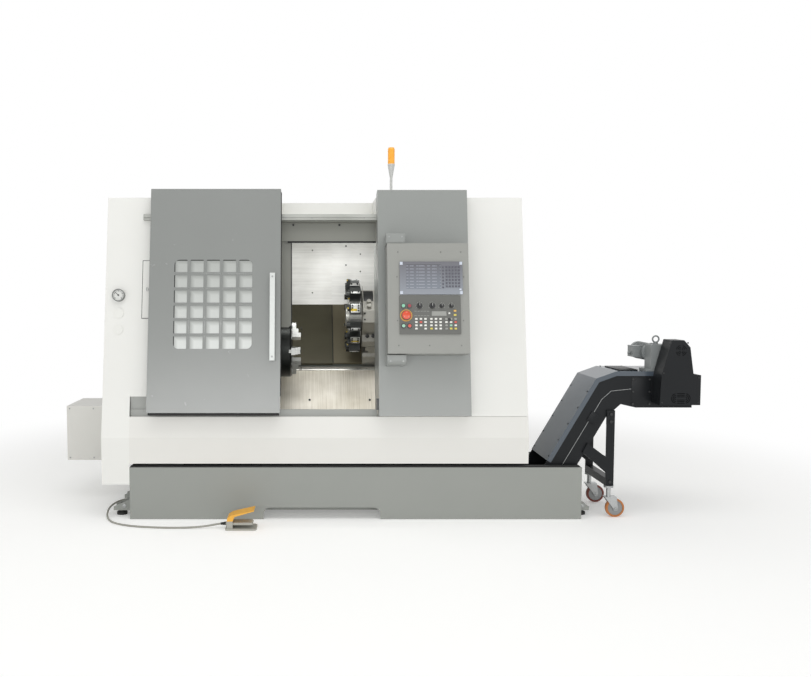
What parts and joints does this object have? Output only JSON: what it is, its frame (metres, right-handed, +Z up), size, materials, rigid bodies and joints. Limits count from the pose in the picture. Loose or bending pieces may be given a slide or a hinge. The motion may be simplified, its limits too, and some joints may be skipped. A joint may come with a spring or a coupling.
{
  "type": "cnc turning lathe",
  "caption": "Slant-bed turning lathe in a white sheet-metal enclosure with a sliding door, swinging control panel, chuck, tool turret and a docked chip conveyor rising at the right end.",
  "frame": {"origin": "centre of the object's box on the floor, measured without the foot pedal and its cable", "axes": "+X to the operator's right along the spindle, +Y from the operator towards the rear, +Z up"},
  "size_m": [4.12, 1.995, 2.421],
  "materials": {
    "white_paint": "semi-gloss powder coat",
    "apron_paint": "semi-gloss powder coat, slightly warm",
    "tank_paint": "satin enamel",
    "casting_paint": "enamel over grey iron",
    "slide_iron": "machined grey iron",
    "grey_paint": "satin powder coat",
    "door_paint": "satin powder coat",
    "window_pane": "clear laminated pane",
    "bright_steel": "ground steel",
    "stainless_sheet": "brushed stainless sheet",
    "way_steel": "oiled steel sheet",
    "conveyor_black": "black powder coat",
    "chuck_steel": "oiled dark steel",
    "turret_steel": "ground tool steel",
    "holder_steel": "black oxide with bright edges",
    "foot_rubber": "moulded rubber over a steel screw",
    "beacon_amber": "translucent amber lens",
    "beacon_grey": "moulded plastic",
    "gauge_metal": "plated bezel",
    "motor_enamel": "grey enamel on cast aluminium",
    "panel_black": "textured moulding",
    "panel_film": "printed membrane film",
    "stop_red": "moulded mushroom head",
    "knob_black": "moulded knob",
    "button_green": "moulded cap",
    "button_red": "moulded cap",
    "pedal_beige": "moulded housing",
    "pedal_yellow": "moulded guard",
    "cable_sheath": "flexible sheath",
    "caster_zinc": "zinc plated pressing",
    "tyre_orange": "cast polyurethane",
    "tyre_brown": "cast polyurethane"
  },
  "bodies": {
    "machine": {"coolant_tank": "tank_paint", "levelling_feet": "foot_rubber", "slant_bed": "casting_paint", "headstock": "casting_paint", "motor_cover": "white_paint", "left_front_panel": "white_paint", "right_front_panel": "white_paint", "front_apron": "apron_paint", "side_panels": "white_paint", "rear_panel": "white_paint", "roof_panel": "white_paint", "header_beam": "grey_paint", "door_rail": "bright_steel", "door_sill": "bright_steel", "console_column": "grey_paint", "end_guards": "stainless_sheet", "jamb_guard": "grey_paint", "lower_guard": "stainless_sheet", "way_covers": "way_steel", "beacon_stem": "beacon_grey", "beacon_lens": "beacon_amber", "pressure_gauge": "gauge_metal", "electrical_cabinet": "white_paint", "conveyor_casing": "conveyor_black", "conveyor_lid": "conveyor_black", "conveyor_stand": "conveyor_black", "chain_guard": "conveyor_black", "gearmotor": "motor_enamel", "pedal_base": "pedal_beige", "pedal_guard": "pedal_yellow", "pedal_cable": "cable_sheath"},
    "door": {"door_panel": "door_paint", "door_window": "window_pane", "door_handle": "bright_steel"},
    "spindle": {"spindle": "bright_steel", "chuck_body": "chuck_steel"},
    "jaw_1": {"jaw_1": "chuck_steel"},
    "jaw_2": {"jaw_2": "chuck_steel"},
    "jaw_3": {"jaw_3": "chuck_steel"},
    "carriage": {"saddle": "slide_iron", "saddle_covers": "way_steel"},
    "cross_slide": {"cross_slide": "slide_iron"},
    "turret": {"turret_disc": "turret_steel", "tool_holders": "holder_steel"},
    "panel": {"control_box": "grey_paint", "lcd_unit": "panel_black", "operator_panel": "panel_film"},
    "e_stop": {"e_stop": "stop_red"},
    "knob_1": {"knob_1": "knob_black"},
    "knob_2": {"knob_2": "knob_black"},
    "knob_3": {"knob_3": "knob_black"},
    "knob_4": {"knob_4": "knob_black"},
    "cycle_button": {"cycle_button": "button_green"},
    "hold_button": {"hold_button": "button_red"},
    "pedal_treadle": {"pedal_treadle": "pedal_beige"},
    "cabinet_door": {"cabinet_door": "white_paint"},
    "caster_front": {"caster_fork_front": "caster_zinc"},
    "caster_rear": {"caster_fork_rear": "caster_zinc"},
    "wheel_front": {"caster_wheel_front": "tyre_orange"},
    "wheel_rear": {"caster_wheel_rear": "tyre_brown"}
  },
  "joints": [
    {"name": "door_slide", "type": "slide", "parent": "machine", "child": "door", "axis": [1, 0, 0], "range_m": [0, 0.6]},
    {"name": "spindle_spin", "type": "hinge", "parent": "machine", "child": "spindle", "pos_m": [-0.74, -0.2453, 1.04], "axis": [1, 0, 0], "continuous": true},
    {"name": "jaw_1_grip", "type": "slide", "parent": "spindle", "child": "jaw_1", "axis": [0, -1, 0], "range_m": [-0.004, 0.004]},
    {"name": "jaw_2_grip", "type": "slide", "parent": "spindle", "child": "jaw_2", "axis": [0, 0.5, -0.866], "range_m": [-0.004, 0.004]},
    {"name": "jaw_3_grip", "type": "slide", "parent": "spindle", "child": "jaw_3", "axis": [0, 0.5, 0.866], "range_m": [-0.004, 0.004]},
    {"name": "z_slide", "type": "slide", "parent": "machine", "child": "carriage", "axis": [1, 0, 0], "range_m": [-0.2, 0.15]},
    {"name": "x_slide", "type": "slide", "parent": "carriage", "child": "cross_slide", "axis": [0, 0.7071, 0.7071], "range_m": [-0.06, 0.15]},
    {"name": "turret_index", "type": "hinge", "parent": "cross_slide", "child": "turret", "pos_m": [-0.065, -0.01903, 1.26627], "axis": [1, 0, 0], "continuous": true},
    {"name": "panel_swing", "type": "hinge", "parent": "machine", "child": "panel", "pos_m": [0.155, -0.83097, 1.39573], "axis": [0, -0.1736, -0.9848], "range_deg": [0, 90]},
    {"name": "e_stop_press", "type": "slide", "parent": "panel", "child": "e_stop", "axis": [0, 0.9848, -0.1736], "range_m": [0, 0.004], "stiffness_N_per_m": 1500},
    {"name": "knob_1_turn", "type": "hinge", "parent": "panel", "child": "knob_1", "pos_m": [0.3, -0.9017, 1.35743], "axis": [0, -0.9848, 0.1736], "range_deg": [-135, 135]},
    {"name": "knob_2_turn", "type": "hinge", "parent": "panel", "child": "knob_2", "pos_m": [0.378, -0.9017, 1.35743], "axis": [0, -0.9848, 0.1736], "range_deg": [-135, 135]},
    {"name": "knob_3_turn", "type": "hinge", "parent": "panel", "child": "knob_3", "pos_m": [0.436, -0.9017, 1.35743], "axis": [0, -0.9848, 0.1736], "range_deg": [-135, 135]},
    {"name": "knob_4_turn", "type": "hinge", "parent": "panel", "child": "knob_4", "pos_m": [0.495, -0.9017, 1.35743], "axis": [0, -0.9848, 0.1736], "range_deg": [-135, 135]},
    {"name": "cycle_press", "type": "slide", "parent": "panel", "child": "cycle_button", "axis": [0, 0.9848, -0.1736], "range_m": [0, 0.004], "stiffness_N_per_m": 1000},
    {"name": "hold_press", "type": "slide", "parent": "panel", "child": "hold_button", "axis": [0, 0.9848, -0.1736], "range_m": [0, 0.004], "stiffness_N_per_m": 1000},
    {"name": "pedal_press", "type": "hinge", "parent": "machine", "child": "pedal_treadle", "pos_m": [-0.857, -0.9903, 0.034], "axis": [0, 1, 0], "range_deg": [0, 7], "stiffness_Nm_per_rad": 8, "springref_deg": -14.32},
    {"name": "cabinet_swing", "type": "hinge", "parent": "machine", "child": "cabinet_door", "pos_m": [1.004, 0.9367, 1.2], "axis": [0, 0, -1], "range_deg": [0, 110]},
    {"name": "swivel_front", "type": "hinge", "parent": "machine", "child": "caster_front", "pos_m": [1.542, -0.7453, 0.19], "axis": [0, 0, 1], "continuous": true},
    {"name": "roll_front", "type": "hinge", "parent": "caster_front", "child": "wheel_front", "pos_m": [1.583, -0.7453, 0.06], "axis": [0, 1, 0], "continuous": true},
    {"name": "swivel_rear", "type": "hinge", "parent": "machine", "child": "caster_rear", "pos_m": [1.542, -0.3853, 0.19], "axis": [0, 0, 1], "continuous": true},
    {"name": "roll_rear", "type": "hinge", "parent": "caster_rear", "child": "wheel_rear", "pos_m": [1.583, -0.3853, 0.06], "axis": [0, 1, 0], "continuous": true}
  ],
  "couplings": [
    {"joint": "jaw_2_grip", "follows": "jaw_1_grip", "ratio": 1},
    {"joint": "jaw_3_grip", "follows": "jaw_1_grip", "ratio": 1}
  ]
}
